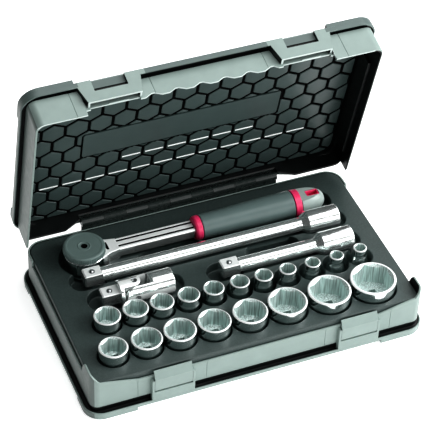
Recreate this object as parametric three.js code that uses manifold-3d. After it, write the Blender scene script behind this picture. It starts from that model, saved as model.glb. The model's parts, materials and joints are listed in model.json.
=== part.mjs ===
// Socket wrench set in a hinged plastic case, 1/2 inch drive.
// Millimetres, +Z up, +X along the case's length, +Y towards the hinge.
// The origin is on the floor under the middle of the base.
import * as THREE from 'three';
import { mergeVertices } from 'three/addons/utils/BufferGeometryUtils.js';
import Module from 'manifold-3d';

const wasm = await Module();
wasm.setup();

// ---------- driving dimensions ----------
const GAP = 0.3; // clearance between neighbouring pieces
const WALL = 2; // moulded wall
const WALL_X = 157.6; // half length over the case walls
const WALL_Y = 94.8; // half width over the case walls
const WALL_R = 16; // corner radius of the walls at the back
const FRONT_R = 8; // corner radius of the walls at the front
const LIP = 4.7; // how far the protecting lip stands out from the walls
const BUMPER_R = 17; // corner radius of the lip at the front
const LID_OUT = 2.4; // how far the lid's corners and sides stand out from the base's walls
const LIP_T = 1.6; // lip thickness
const LIP_H = 5.5; // lip height
const FLOOR_T = 2.5;
const RIM_LOW = 34; // parting line along the front and the sides
const RIM_BACK = 40; // parting line along the back
const LIP_Z = 4; // underside of the base lip between the corner feet
// the two front corner guides, which climb above the rim at the front and at the side
const GUIDE = { x: 114.4, y: -64.8, front: 41, side: 49.5 };
const TOP_Z = 64; // outside of the closed lid
const TRAY_Z = 40; // top face of the tray
const TRAY_T = 1.8; // wall of the tray around its pockets
const RECESS_Z = 26; // floor of the finger recesses
const AXIS_Z = TRAY_Z + 3; // axis height of the tools that lie down

const HINGE_Y = 97;
const HINGE_Z = 47;
const HINGE_X0 = -101;
const HINGE_X1 = 95;
const HINGE_R = 4;
const HINGE_PIN_R = 1.6;
const KNUCKLES = 9;
const LID_ANGLE = 75.6; // how far the lid stands open, in degrees

const LATCH_W = 35; // latch lever
const BLOCK_W = 40; // block that carries it
const LATCH_X = [-83.65, 93.65];
const LATCH_PIN = { y: -97.2, z: 19.5, r: 1.2 };
// pads on the lid that hide the latches, each with a window
const PAD = { half: 24.3, rim: 37, thick: 1.9, window: 30, sill: 51.5, head: 57.5 };
const PAD_X = [-87.3, 89];
const PAD_Y = -WALL_Y - LIP - 2.3; // outside of the pads
const SKIRT_RIM = 28; // lower edge of the lid at its sides and front corners
const SKIRT_X = 114; // the front corner skirts begin here
const SKIRT_CLEAR = 0.4; // gap between a skirt and the base
const LINER_Z = 57.5; // face of the lid's liner
const LABEL = { x: -9, y: -9, hx: 94, hy: 16 };

const SQUARE = 12.7; // 1/2 inch drive
const SQUARE_HOLE = 12.9;
const SOCKET_TOP = TRAY_Z + 11;

// size, x, y and outer diameter at the hexagon of each socket
const SOCKETS = [
  [19, -127.5, -66, 26.0], [21, -96.7, -66, 28.1], [22, -65.9, -66, 29.4], [23, -33.6, -66, 30.2],
  [24, 0.4, -66, 31.8], [27, 36.4, -66, 35.8], [30, 77.1, -66, 39.6], [32, 120.4, -66, 42.2],
  [18, -119.6, -28, 24.4], [17, -93.1, -28, 23.5], [16, -68.2, -28, 22.0], [15, -42.8, -28, 20.2],
  [14, -18.9, -28, 19.1], [13, 6.2, -28, 18.0], [12, 29.5, -28, 17.1], [11, 53.1, -28, 15.8],
  [10, 77.7, -28, 14.5], [9, 102.1, -27, 13.2], [8, 126.3, -25.3, 12.6],
];
const DRIVE_END_R = 11; // the least radius of a socket's drive end

const BALL_R = 2.4; // detent ball in each male square

// extension bars: the two ends and the line they lie on, then the shape they share
const LONG = { x0: -121.8, x1: 128.2, y: 30.2 };
const SHORT = { x0: -1.3, x1: 128.7, y: -0.9 };
const EXT = { shaft: 6.7, head: 11, headL: 31, taper: 6, tip: 16 };

// universal joint: x of its ends, of its two hubs and of its centre
const UJ = {
  x0: -115.3, hubA: -99, hubA1: -95.2, c: -84, hubB: -68, x1: -47.7,
  y: 1.5, r: 12, cube: 12,
};
const EAR = { drive: 5.7, socket: 10, gap: UJ.cube / 2 + GAP, hole: 2.8, pin: 2.5 };

// ratchet: its head, then stations along its handle measured from the head's centre
const RATCHET = { x: -111.2, y: 58, headR: 18.8, dialR: 19.5, z0: 28, z1: 49.2, top: 56 };
const HANDLE = {
  neck: 15, shank0: 24, shank1: 105.5, tang: 216, tangR: 5,
  ring1: 106, grip: 113, ring2: 205.4, cap: 212.6, end: 238.4,
};
const GEAR = { r: 14.1, teeth: 36, z0: 31, z1: 44 };
const PAWL = { x: 18.9, r: 4.4 };
const BOSS_R = 8; // boss under the reversing dial

// ---------- helpers ----------
const rad = (deg) => (deg * Math.PI) / 180;

function solid(geometry) {
  const g = geometry.clone();
  g.deleteAttribute('normal');
  g.deleteAttribute('uv');
  const m = mergeVertices(g, 1e-4);
  return new wasm.Manifold(new wasm.Mesh({
    numProp: 3,
    vertProperties: new Float32Array(m.attributes.position.array),
    triVerts: new Uint32Array(m.index.array),
  }));
}

function geometryOf(manifold) {
  const m = manifold.getMesh();
  const g = new THREE.BufferGeometry();
  g.setAttribute('position', new THREE.BufferAttribute(new Float32Array(m.vertProperties), 3));
  g.setIndex(new THREE.BufferAttribute(new Uint32Array(m.triVerts), 1));
  g.computeVertexNormals();
  return g;
}

const union = (list) => list.reduce((a, b) => a.add(b));
const cut = (body, list) => list.reduce((a, b) => a.subtract(b), body);

function box(x0, x1, y0, y1, z0, z1) {
  const g = new THREE.BoxGeometry(x1 - x0, y1 - y0, z1 - z0);
  g.translate((x0 + x1) / 2, (y0 + y1) / 2, (z0 + z1) / 2);
  return solid(g);
}

// upright prism of a plan outline
function prism(shape, z0, z1, curve = 3) {
  const g = new THREE.ExtrudeGeometry(shape, { depth: z1 - z0, bevelEnabled: false, curveSegments: curve });
  g.translate(0, 0, z0);
  return solid(g);
}

// prism along X of an outline drawn in (y, z)
function prismX(points, x0, x1) {
  const shape = new THREE.Shape(points.map(([y, z]) => new THREE.Vector2(y, z)));
  const g = new THREE.ExtrudeGeometry(shape, { depth: x1 - x0, bevelEnabled: false });
  g.applyMatrix4(new THREE.Matrix4().set(0, 0, 1, x0, 1, 0, 0, 0, 0, 1, 0, 0, 0, 0, 0, 1));
  return solid(g);
}

function roundRect(hx, hy, r, cx = 0, cy = 0) {
  const s = new THREE.Shape();
  s.moveTo(cx - hx + r, cy - hy);
  s.lineTo(cx + hx - r, cy - hy);
  s.absarc(cx + hx - r, cy - hy + r, r, -Math.PI / 2, 0, false);
  s.absarc(cx + hx - r, cy + hy - r, r, 0, Math.PI / 2, false);
  s.absarc(cx - hx + r, cy + hy - r, r, Math.PI / 2, Math.PI, false);
  s.absarc(cx - hx + r, cy - hy + r, r, Math.PI, 1.5 * Math.PI, false);
  return s;
}

// body of revolution, profile [[radius, height], ...] that starts and ends on the axis
function turned(profile, segments, direction = 'z') {
  const g = new THREE.LatheGeometry(profile.map(([r, h]) => new THREE.Vector2(r, h)), segments);
  if (direction === 'z') g.rotateX(Math.PI / 2);
  if (direction === 'x') g.rotateZ(-Math.PI / 2);
  return solid(g);
}

const rod = (r, h0, h1, segments, direction = 'z') =>
  turned([[0, h0], [r, h0], [r, h1], [0, h1]], segments, direction);

// the case's outline seen from above, moved outwards by `out`
function casePlan(out, front = FRONT_R + out, back = WALL_R + out) {
  const x = WALL_X + out;
  const y = WALL_Y + out;
  const s = new THREE.Shape();
  s.moveTo(-x + front, -y);
  s.lineTo(x - front, -y);
  s.absarc(x - front, -y + front, front, -Math.PI / 2, 0, false);
  s.absarc(x - back, y - back, back, 0, Math.PI / 2, false);
  s.absarc(-x + back, y - back, back, Math.PI / 2, Math.PI, false);
  s.absarc(-x + front, -y + front, front, Math.PI, 1.5 * Math.PI, false);
  return s;
}

// both of a pair of boxes that mirror each other across x = 0
const boxPair = (x0, x1, y0, y1, z0, z1) =>
  box(x0, x1, y0, y1, z0, z1).add(box(-x1, -x0, y0, y1, z0, z1));

function piece(name, body, material, parent) {
  const mesh = new THREE.Mesh(body.isBufferGeometry ? body : geometryOf(body), material.clone());
  mesh.name = name;
  parent.add(mesh);
  return mesh;
}

// ---------- materials ----------
const paint = (color, roughness, metalness) =>
  new THREE.MeshStandardMaterial({ color, roughness, metalness });
const SHELL = paint(0xa3b1ad, 0.55, 0);
const TRAY = paint(0x2c3130, 0.6, 0);
const LINER = paint(0x434a4a, 0.7, 0);
const BLACK = paint(0x16191a, 0.5, 0);
const CHROME = paint(0xd4dada, 0.18, 1);
const STEEL = paint(0x8d9394, 0.35, 1);
const GRIP = paint(0x3f4747, 0.6, 0);
const RED = paint(0xe23a5f, 0.45, 0);
const CAP = paint(0x9aa5a3, 0.45, 0);

const root = new THREE.Group();
const base = new THREE.Group();
const lid = new THREE.Group(); // drawn closed, then turned about the hinge
lid.position.set(0, HINGE_Y, HINGE_Z);
lid.rotation.x = -rad(LID_ANGLE);
const lidParts = new THREE.Group();
lidParts.position.set(0, -HINGE_Y, -HINGE_Z);
lid.add(lidParts);
root.add(base, lid);

// ---------- case base ----------
// J-shaped lip around a shell: shelf at shelf0..shelf1, upstand at up0..up1
function lipRing(out, shelf0, shelf1, up0, up1) {
  const outline = (inset) => casePlan(out - inset, BUMPER_R - inset);
  const shelf = prism(outline(0), shelf0, shelf1)
    .subtract(prism(casePlan(-WALL / 2), shelf0 - 1, shelf1 + 1));
  const upstand = prism(outline(0), up0, up1).subtract(prism(outline(LIP_T), up0 - 1, up1 + 1));
  return shelf.add(upstand);
}

// the lip carried on to the case's flat face at each corner, from z0 to z1
function cornerFeet(out, z0, z1) {
  const [fx, fy] = [132, 66]; // the feet begin here
  const ring = prism(casePlan(out, BUMPER_R), z0, z1).subtract(prism(casePlan(-WALL), z0 - 1, z1 + 1));
  return ring.intersect(union([boxPair(fx, 200, fy, 200, -1, 100), boxPair(fx, 200, -200, -fy, -1, 100)]));
}

function baseShell() {
  const far = WALL_X + 10;
  const keep = union([
    box(-far, far, -far, far, -1, RIM_LOW), box(-far, far, 70, far, 0, RIM_BACK),
    boxPair(GUIDE.x, far, -far, -WALL_Y + WALL + 1, 0, GUIDE.front),
    boxPair(WALL_X - WALL - 1, far, -far, GUIDE.y, 0, GUIDE.side),
  ]);
  let shell = prism(casePlan(0), 1, GUIDE.side).intersect(keep);
  shell = shell.add(prism(casePlan(-GAP), 0, LIP_Z + 0.6));
  shell = shell.add(cornerFeet(LIP, 0, LIP_Z + 0.6));
  shell = shell.subtract(prism(casePlan(-WALL), FLOOR_T, GUIDE.side + 1));
  shell = shell.add(lipRing(LIP, LIP_Z, LIP_Z + LIP_T, LIP_Z, LIP_Z + LIP_H));
  for (const x of LATCH_X) {
    const yf = -WALL_Y - LIP + 0.2;
    const h = BLOCK_W / 2;
    const w = LATCH_W / 2 + GAP;
    shell = shell.add(box(x - h, x + h, yf, -WALL_Y + 0.5, LIP_Z, 31));
    shell = shell.subtract(box(x - w, x + w, yf - 1, -WALL_Y - GAP * 0.7, 16.8, 32));
    const pin = rod(LATCH_PIN.r + 0.15, x - 19, x + 19, 12, 'x');
    shell = shell.subtract(pin.translate([0, LATCH_PIN.y, LATCH_PIN.z]));
  }
  return shell;
}
piece('base_shell', baseShell(), SHELL, base);

function latch() {
  const { y, z } = LATCH_PIN;
  const r = 2.1;
  const arc = [];
  for (let i = 0; i <= 6; i++) {
    const a = Math.PI + (Math.PI * i) / 6;
    arc.push([y + r * Math.cos(a), z + r * Math.sin(a)]);
  }
  const face = y - r;
  const back = y + r;
  return prismX([
    ...arc, [back, 37.6], [-94.6, 38.1], [-94.6, TRAY_Z - 0.1], [-95.6, TRAY_Z - 0.1],
    [face - 0.2, 32], [face, 31],
  ], -LATCH_W / 2, LATCH_W / 2).subtract(rod(LATCH_PIN.r + 0.3, -20, 20, 12, 'x').translate([0, y, z]));
}
['latch_left', 'latch_right'].forEach((name, i) => {
  piece(name, latch(), SHELL, base).position.x = LATCH_X[i];
  const pin = rod(LATCH_PIN.r, -18.8, 18.8, 12, 'x');
  piece(`${name}_pin`, pin, STEEL, base).position.set(LATCH_X[i], LATCH_PIN.y, LATCH_PIN.z);
});

// ---------- tray ----------
const socketLength = (size) => 36 + 0.35 * (size - 8);
const socketDriveR = (size, od) => Math.max(DRIVE_END_R, size > 22 ? od * 0.37 : od / 2 - 0.4);

// every pocket as {shape, floor}
function pockets() {
  const list = [];
  for (const [size, x, y, od] of SOCKETS) {
    const r = Math.max(od / 2, socketDriveR(size, od)) + 1.4;
    list.push({ x, y, hx: r, hy: r, r, floor: SOCKET_TOP - socketLength(size) - GAP });
  }
  const slot = (x0, x1, y, w, floor, r = w / 2) =>
    list.push({ x: (x0 + x1) / 2, y, hx: (x1 - x0) / 2, hy: w / 2, r, floor });
  for (const e of [LONG, SHORT]) {
    slot(e.x0 + 10, e.x1 - 10, e.y, 18, AXIS_Z - 8.7, 8.9);
    slot(e.x1 - 40, e.x1 + 8.5, e.y, 26, AXIS_Z - 11.3, 12.9);
    slot(e.x0 - 13, e.x0 + 22, e.y, 24, AXIS_Z - 12, 11.9);
  }
  // finger recesses: between the extensions, and between the long one and the ratchet's shank
  slot(30, 82, 13, 18, RECESS_Z, 8.9);
  slot(-64, -4, 42.6, 22, RECESS_Z, 10.9);
  slot(UJ.x0 - 12, UJ.x1 + 11, UJ.y, 29.5, AXIS_Z - UJ.r - GAP, 14.6);
  const R = RATCHET;
  slot(R.x - 23.5, R.x + 23.5, R.y, 47, R.z0 - GAP, 23.4);
  slot(R.x - 10, R.x + 10, R.y, 20, 12.6, 9.9);
  slot(R.x, 10, R.y, 24, AXIS_Z - 9, 11.9);
  slot(-9, 134, R.y, 31.5, AXIS_Z - 14, 15.6);
  return list;
}

function toolTray() {
  const bottom = FLOOR_T + GAP;
  const side = WALL + GAP; // from the outside of the case to the tray
  let tray = prism(casePlan(-side), bottom, TRAY_Z);
  const all = pockets();
  const plan = (p, grow, curve) => prism(
    roundRect(p.hx + grow, p.hy + grow, p.r + grow, p.x, p.y), p.floor - grow, TRAY_Z + 1, curve);
  let hollow = prism(casePlan(-side - TRAY_T), bottom - 1, TRAY_Z - TRAY_T);
  for (const p of all) hollow = hollow.subtract(plan(p, TRAY_T, 1.5));
  tray = tray.subtract(hollow);
  return cut(tray, all.map((p) => plan(p, 0, 2)));
}
piece('tool_tray', toolTray(), TRAY, base);

// ---------- hinge ----------
const knuckleW = (HINGE_X1 - HINGE_X0) / KNUCKLES;
function hingeLeaf(onLid) {
  const y0 = WALL_Y + GAP;
  const y1 = y0 + 1.6;
  const z0 = onLid ? HINGE_Z + 2 : RIM_BACK - 12;
  const z1 = onLid ? HINGE_Z + 11 : HINGE_Z - 2;
  let leaf = box(HINGE_X0, HINGE_X1, y0, y1, z0, z1);
  const eye = rod(HINGE_R + 0.4, HINGE_X0 - 1, HINGE_X1 + 1, 16, 'x').translate([0, HINGE_Y, HINGE_Z]);
  leaf = leaf.subtract(eye);
  for (let i = 0; i < KNUCKLES; i++) {
    if ((i % 2 === 1) !== onLid) continue;
    const a = HINGE_X0 + i * knuckleW + GAP / 2;
    const b = a + knuckleW - GAP;
    leaf = leaf.add(rod(HINGE_R, a, b, 16, 'x').translate([0, HINGE_Y, HINGE_Z]));
    leaf = leaf.add(onLid
      ? box(a, b, y0, y1, HINGE_Z, z1) : box(a, b, y0, y1, z0, HINGE_Z));
  }
  const bore = rod(HINGE_PIN_R + 0.3, HINGE_X0 - 1, HINGE_X1 + 1, 12, 'x');
  return leaf.subtract(bore.translate([0, HINGE_Y, HINGE_Z]));
}
piece('base_hinge_leaf', hingeLeaf(false), BLACK, base);
piece('lid_hinge_leaf', hingeLeaf(true), BLACK, lidParts);
const hingePin = rod(HINGE_PIN_R, HINGE_X0 + 0.5, HINGE_X1 - 0.5, 12, 'x');
piece('hinge_pin', hingePin, STEEL, base).position.set(0, HINGE_Y, HINGE_Z);

// ---------- lid ----------
function lidShell() {
  const rim = RIM_LOW + SKIRT_CLEAR;
  const ceiling = TOP_Z - 2.2; // underside of the lid's flat face
  const far = WALL_X + 15;
  const cavity = prism(casePlan(-WALL), 0, ceiling);
  let shell = prism(casePlan(0), rim, TOP_Z).subtract(cavity);
  // the back rim clears the tray while it swings, and gives way to the hinge
  shell = shell.subtract(box(-far, far, 69.6, far, 0, RIM_BACK + 0.4));
  shell = shell.subtract(box(HINGE_X0 - 1, HINGE_X1 + 1, 80, far, 0, HINGE_Z + 6));
  // front corners and sides: skirts that slide over the outside of the base
  const reach = boxPair(SKIRT_X, far, -far, -60, SKIRT_RIM, TOP_Z - 2)
    .add(boxPair(WALL_X - WALL - 1, far, -61, WALL_Y, SKIRT_RIM, TOP_Z - 2));
  shell = shell.add(prism(casePlan(LID_OUT, FRONT_R, FRONT_R), SKIRT_RIM, TOP_Z - 2)
    .intersect(reach).subtract(cavity));
  const room = union([
    boxPair(SKIRT_X - GAP, far, -far, GUIDE.y + 2, 0, GUIDE.side + 0.5),
    boxPair(WALL_X - WALL - 1, far, -far, far, 0, rim),
    box(-far, far, 69.6, far, 0, RIM_BACK + 0.4),
  ]);
  const over = casePlan(SKIRT_CLEAR, FRONT_R + SKIRT_CLEAR, 1);
  shell = shell.subtract(prism(over, 0, GUIDE.side + 1).intersect(room));
  // lip, set down from the flat face between the corner feet
  const lipTop = TOP_Z - LIP_Z;
  const out = LIP + LID_OUT;
  shell = shell.add(lipRing(out, lipTop - LIP_T, lipTop, lipTop - LIP_H, lipTop));
  shell = shell.add(cornerFeet(out, lipTop - 0.6, TOP_Z));
  // latch pads: an outer plate in front of the wall, joined by two cheeks
  for (const x of PAD_X) {
    const a = x - PAD.half;
    const b = x + PAD.half;
    const front = PAD_Y - 1;
    shell = shell.subtract(box(a + WALL, b - WALL, front, -92, 0, 36.5));
    shell = shell.subtract(box(a + WALL, b - WALL, -97.4, -94.3, 0, PAD.head + 1));
    const pad = box(a, b, PAD_Y, -WALL_Y + 0.5, PAD.rim, TOP_Z);
    shell = shell.add(pad.subtract(box(a + WALL, b - WALL, PAD_Y + PAD.thick, -94.3, 0, PAD.head + 1)));
    const w = PAD.window / 2;
    shell = shell.subtract(box(x - w, x + w, front, -92, PAD.sill, PAD.head));
    shell = shell.subtract(box(x - w, x + w, front, -97.2, PAD.sill, TOP_Z + 1));
  }
  // catch ribs behind the pads, which the latches hook over
  for (const x of LATCH_X) shell = shell.add(box(x - 9, x + 9, -95.05, -94, 36.5, 37.5));
  return shell;
}
piece('lid_shell', lidShell(), SHELL, lidParts);

const liner = prism(casePlan(-WALL - 1), LINER_Z, TOP_Z - 2.2 - GAP)
  .subtract(prism(roundRect(LABEL.hx + GAP, LABEL.hy + GAP, 2.3, LABEL.x, LABEL.y), 0, LINER_Z + 1.5));
piece('lid_liner', liner, LINER, lidParts);
const label = prism(roundRect(LABEL.hx, LABEL.hy, 2, LABEL.x, LABEL.y), LINER_Z, LINER_Z + 1.5 - GAP, 3);
piece('lid_label_panel', label, LINER, lidParts);

// ---------- sockets ----------
function socket(size, od) {
  const L = socketLength(size);
  const top = od / 2;
  const drive = socketDriveR(size, od);
  const profile = top < drive
    ? [[0, 0], [drive, 0], [drive, 14.5], [top, L - 8], [top, L], [0, L]]
    : [[0, 0], [drive, 0], [drive, 15], [top, 19], [top, L], [0, L]];
  const hexR = (size + 0.2) / Math.sqrt(3);
  const hex = rod(hexR, L - 10 - 0.35 * size, L + 1, 6).rotate([0, 0, 30]);
  const bore = rod(Math.min(6.2, 0.42 * size), 5, L - 2, 8);
  const h = SQUARE_HOLE / 2;
  const square = box(-h, h, -h, h, -1, size >= 19 && size <= 23 ? L - 5 : 14);
  return cut(turned(profile, 18), [hex, bore, square]);
}
for (const [size, x, y, od] of SOCKETS) {
  const one = piece(`socket_${size}`, socket(size, od), CHROME, root);
  one.position.set(x, y, SOCKET_TOP - socketLength(size));
}

// ---------- detent ball on a male square ----------
const ballPocket = (x) => rod(BALL_R + 0.3, SQUARE / 2 - 3.4, SQUARE / 2 + 1, 10).translate([x, 0, 0]);
function detentBall(name, x, y, z, up, parent) {
  const g = new THREE.SphereGeometry(BALL_R, 10, 6);
  g.rotateX(Math.PI / 2);
  const ball = piece(name, solid(g), STEEL, parent);
  ball.position.set(x, y, z + up * (SQUARE / 2 - 1.0));
}

// ---------- extension bars ----------
function extension(e) {
  const L = e.x1 - e.x0;
  const k = EXT;
  const h0 = L - k.headL;
  const body = turned([[0, k.tip - 1], [k.shaft, k.tip - 1], [k.shaft, h0 - k.taper], [k.head, h0],
    [k.head, L - 0.8], [k.head - 0.8, L], [0, L]], 20, 'x');
  const s = SQUARE / 2;
  const h = SQUARE_HOLE / 2;
  return cut(body.add(box(0, k.tip, -s, s, -s, s)), [box(L - 16, L + 1, -h, h, -h, h), ballPocket(8)]);
}
for (const [name, e] of [['long_extension', LONG], ['short_extension', SHORT]]) {
  piece(name, extension(e), CHROME, root).position.set(e.x0, e.y, AXIS_Z);
  detentBall(`${name}_ball`, e.x0 + 8, e.y, AXIS_Z, 1, root);
}

// ---------- universal joint ----------
const uj = new THREE.Group();
uj.position.set(UJ.c, UJ.y, AXIS_Z);
root.add(uj);
// two ears above and below the cross, with round ends at the joint's centre
function ears(from, r) {
  const s = new THREE.Shape();
  s.moveTo(from, -r);
  s.lineTo(0, -r);
  s.absarc(0, 0, r, -Math.PI / 2, Math.PI / 2, false);
  s.lineTo(from, r);
  const slab = prism(s, -UJ.r, UJ.r, 10).intersect(rod(UJ.r, from - 1, r + 1, 24, 'x'));
  const hole = rod(EAR.hole, -20, 20, 12);
  return cut(slab, [box(from - 2, 20, -20, 20, -EAR.gap, EAR.gap), hole]);
}
function driveYoke() {
  const s = SQUARE / 2;
  const hub = rod(UJ.r, UJ.hubA - UJ.c, UJ.hubA1 - UJ.c, 24, 'x');
  const square = box(UJ.x0 - UJ.c, UJ.hubA - UJ.c + 1, -s, s, -s, s);
  return cut(union([hub, square, ears(UJ.hubA1 - UJ.c - 1, EAR.drive)]), [ballPocket(UJ.x0 - UJ.c + 8)]);
}
function socketYoke() {
  const h = SQUARE_HOLE / 2;
  const end = UJ.x1 - UJ.c;
  const hub = rod(UJ.r, UJ.hubB - UJ.c, end, 24, 'x');
  const turnedEars = ears(UJ.c - UJ.hubB - 1, EAR.socket).rotate([90, 0, 180]);
  return hub.add(turnedEars).subtract(box(end - 15.5, end + 1, -h, h, -h, h));
}
function cross() {
  const h = UJ.cube / 2;
  const reach = UJ.r - 2;
  const arms = rod(EAR.pin, -reach, reach, 12);
  return union([box(-h, h, -h, h, -h, h), arms, arms.rotate([90, 0, 0])]);
}
piece('universal_joint_drive_yoke', driveYoke(), CHROME, uj);
piece('universal_joint_cross', cross(), STEEL, uj);
piece('universal_joint_socket_yoke', socketYoke(), CHROME, uj);
detentBall('universal_joint_ball', UJ.x0 - UJ.c + 8, 0, 0, 1, uj);

// ---------- ratchet ----------
const ratchet = new THREE.Group();
ratchet.position.set(RATCHET.x, RATCHET.y, 0);
root.add(ratchet);
function ratchetBody() {
  const R = RATCHET;
  const head = turned([
    [0, R.z0], [R.headR - 1.5, R.z0], [R.headR, R.z0 + 1.5], [R.headR, R.z1], [0, R.z1]], 32);
  const neckEnd = HANDLE.shank0 + 6;
  const neck = new THREE.Shape([
    [0, -14], [HANDLE.neck, -13.5], [neckEnd, -7.5],
    [neckEnd, 7.5], [HANDLE.neck, 13.5], [0, 14],
  ].map(([x, y]) => new THREE.Vector2(x, y)));
  const low = AXIS_Z - 6;
  const top = AXIS_Z + 5.5;
  const groove = (y) => [[y + 1.4, top], [y + 0.9, top - 0.8], [y - 0.9, top - 0.8], [y - 1.4, top]];
  const section = [
    [-5.5, low], [5.5, low], [7.5, low + 2], [7.5, top - 1.5], [6, top],
    ...groove(3), ...groove(-3), [-6, top], [-7.5, top - 1.5], [-7.5, low + 2]];
  const shank = prismX(section, HANDLE.shank0, HANDLE.shank1);
  const tang = rod(HANDLE.tangR, HANDLE.shank1 - 1, HANDLE.tang, 12, 'x').translate([0, 0, AXIS_Z]);
  const body = union([head, prism(neck, AXIS_Z - 7.5, top), shank, tang]);
  return cut(body, [
    rod(GEAR.r + 0.4, GEAR.z0 - GAP, R.z1 + 1, 36), rod(11, R.z0 - 1, GEAR.z0, 24),
    rod(PAWL.r + 0.3, GEAR.z0 - GAP, GEAR.z1 + GAP, 16).translate([PAWL.x, 0, 0])]);
}
piece('ratchet_body', ratchetBody(), CHROME, ratchet);

function driveGear() {
  const s = new THREE.Shape();
  for (let i = 0; i < GEAR.teeth * 2; i++) {
    const a = (Math.PI * i) / GEAR.teeth;
    const r = i % 2 ? GEAR.r - 1.1 : GEAR.r;
    if (i) s.lineTo(r * Math.cos(a), r * Math.sin(a));
    else s.moveTo(r, 0);
  }
  const h = SQUARE / 2;
  const square = box(-h, h, -h, h, 13, RATCHET.z0 + 1);
  const body = union([prism(s, GEAR.z0, GEAR.z1), rod(10.6, RATCHET.z0, GEAR.z0 + 1, 24), square]);
  const pocket = rod(BALL_R + 0.3, h - 3.4, h + 1, 10, 'x').translate([0, 0, 19]);
  return body.subtract(pocket);
}
piece('ratchet_drive', driveGear(), STEEL, ratchet);
const driveBall = new THREE.SphereGeometry(BALL_R, 10, 6);
driveBall.rotateZ(Math.PI / 2);
piece('ratchet_drive_ball', solid(driveBall), STEEL, ratchet).position.set(SQUARE / 2 - 1, 0, 19);

const pawl = rod(PAWL.r, GEAR.z0, GEAR.z1, 16).subtract(
  rod(GEAR.r + 0.4, 0, 60, 36).translate([-PAWL.x, 0, 0]));
piece('ratchet_pawl', pawl, STEEL, ratchet).position.x = PAWL.x;

const coverPlate = rod(GEAR.r, 45.2, RATCHET.z1 - 0.5, 28).subtract(rod(BOSS_R + GAP, 40, 60, 20));
piece('ratchet_cover_plate', coverPlate, STEEL, ratchet);

// the dial: a boss in the cover plate, a broad rim and a dimple in the middle of its face
function reversingDial() {
  const { dialR, z1, top } = RATCHET;
  return turned([
    [0, 45.6], [BOSS_R, 45.6], [BOSS_R, z1 + 0.4], [dialR - 0.4, z1 + 0.4],
    [dialR, z1 + 0.9], [dialR, top - 1], [dialR - 1.2, top],
    [2.6, top], [2.2, top - 1.2], [0, top - 1.2]], 32);
}
piece('ratchet_reversing_dial', reversingDial(), BLACK, ratchet);

// grip parts are turned about the tang
const boreX = rod(HANDLE.tangR + GAP, 80, HANDLE.tang + 1, 12, 'x');
const sleeve = (profile, name, material) => {
  const body = turned(profile, 24, 'x').subtract(boreX);
  piece(name, body, material, ratchet).position.z = AXIS_Z;
};
const { ring1, grip, ring2, cap } = HANDLE;
sleeve([[0, ring1], [10.4, ring1], [11.6, ring1 + 1.5], [11.8, grip - GAP], [0, grip - GAP]],
  'ratchet_front_ring', RED);
sleeve([[0, grip], [11.9, grip], [12.4, grip + 25], [13.6, grip + 70], [13.3, ring2 - GAP], [0, ring2 - GAP]],
  'ratchet_grip', GRIP);
sleeve([[0, ring2], [13.5, ring2], [13.3, cap - GAP], [0, cap - GAP]], 'ratchet_rear_ring', RED);

function endCap() {
  const n = HANDLE.end - HANDLE.cap;
  const profile = [[0, HANDLE.cap]];
  for (let i = 0; i <= 6; i++) {
    const a = (Math.PI / 2) * (i / 6);
    profile.push([13.2 * Math.cos(a) ** 0.75 * (i < 6 ? 1 : 0), HANDLE.cap + n * Math.sin(a)]);
  }
  const blunt = box(HANDLE.cap - 1, HANDLE.end + 1, -20, 20, -9, 9.5);
  const slot = box(HANDLE.cap + 7, HANDLE.cap + 20, -4.2, 4.2, -20, 20);
  return cut(turned(profile, 24, 'x').intersect(blunt), [boreX, slot]);
}
piece('ratchet_end_cap', endCap(), CAP, ratchet).position.z = AXIS_Z;
const e0 = HANDLE.cap + 7 + GAP;
const eyelet = box(e0, e0 + 13 - 2 * GAP, -3.9, 3.9, -8.6, 9)
  .subtract(box(e0 + 1.2, e0 + 11.2, -2.7, 2.7, -20, 20));
piece('ratchet_hang_eyelet', eyelet, RED, ratchet).position.z = AXIS_Z;

export default root;
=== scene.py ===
"""Looks of the socket wrench set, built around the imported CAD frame.
Lengths are millimetres until a mesh is made, and places come from the frame's own nodes."""
import json
import math

import bmesh
import bpy
import numpy as np
from mathutils import Matrix, Vector


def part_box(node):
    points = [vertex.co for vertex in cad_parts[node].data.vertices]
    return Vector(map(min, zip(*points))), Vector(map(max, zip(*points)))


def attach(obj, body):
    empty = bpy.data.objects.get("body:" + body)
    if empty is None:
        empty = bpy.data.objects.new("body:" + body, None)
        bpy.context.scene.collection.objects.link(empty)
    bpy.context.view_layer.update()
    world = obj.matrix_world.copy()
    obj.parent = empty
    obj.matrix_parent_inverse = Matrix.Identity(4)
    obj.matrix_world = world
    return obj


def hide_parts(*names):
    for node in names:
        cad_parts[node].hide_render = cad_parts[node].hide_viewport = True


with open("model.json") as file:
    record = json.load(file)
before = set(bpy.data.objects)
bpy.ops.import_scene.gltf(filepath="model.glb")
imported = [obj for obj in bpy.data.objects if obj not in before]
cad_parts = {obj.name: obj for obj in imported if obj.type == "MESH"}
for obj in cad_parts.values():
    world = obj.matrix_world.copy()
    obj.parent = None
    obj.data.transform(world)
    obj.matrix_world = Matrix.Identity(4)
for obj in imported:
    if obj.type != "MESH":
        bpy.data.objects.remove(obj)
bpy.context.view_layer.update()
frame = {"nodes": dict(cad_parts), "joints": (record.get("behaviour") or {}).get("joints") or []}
MM = 0.001
JOINTS = {j["name"]: j for j in frame["joints"]}


# ---------- reading the frame ----------
def span(node):
    """lowest and highest corner of a CAD node in mm"""
    low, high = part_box(node)
    return low / MM, high / MM


def centre(node):
    low, high = span(node)
    return (low + high) / 2


def radius_near(node, axis, level):
    """largest distance from the node's own middle axis among the CAD vertices near one level"""
    co = np.array([v.co for v in frame["nodes"][node].data.vertices]) / MM
    middle = np.array(centre(node))
    across = [i for i in range(3) if i != axis]
    near = co[np.abs(co[:, axis] - level) < 0.6]
    return float(np.hypot(*(near[:, across] - middle[across]).T).max())


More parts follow.
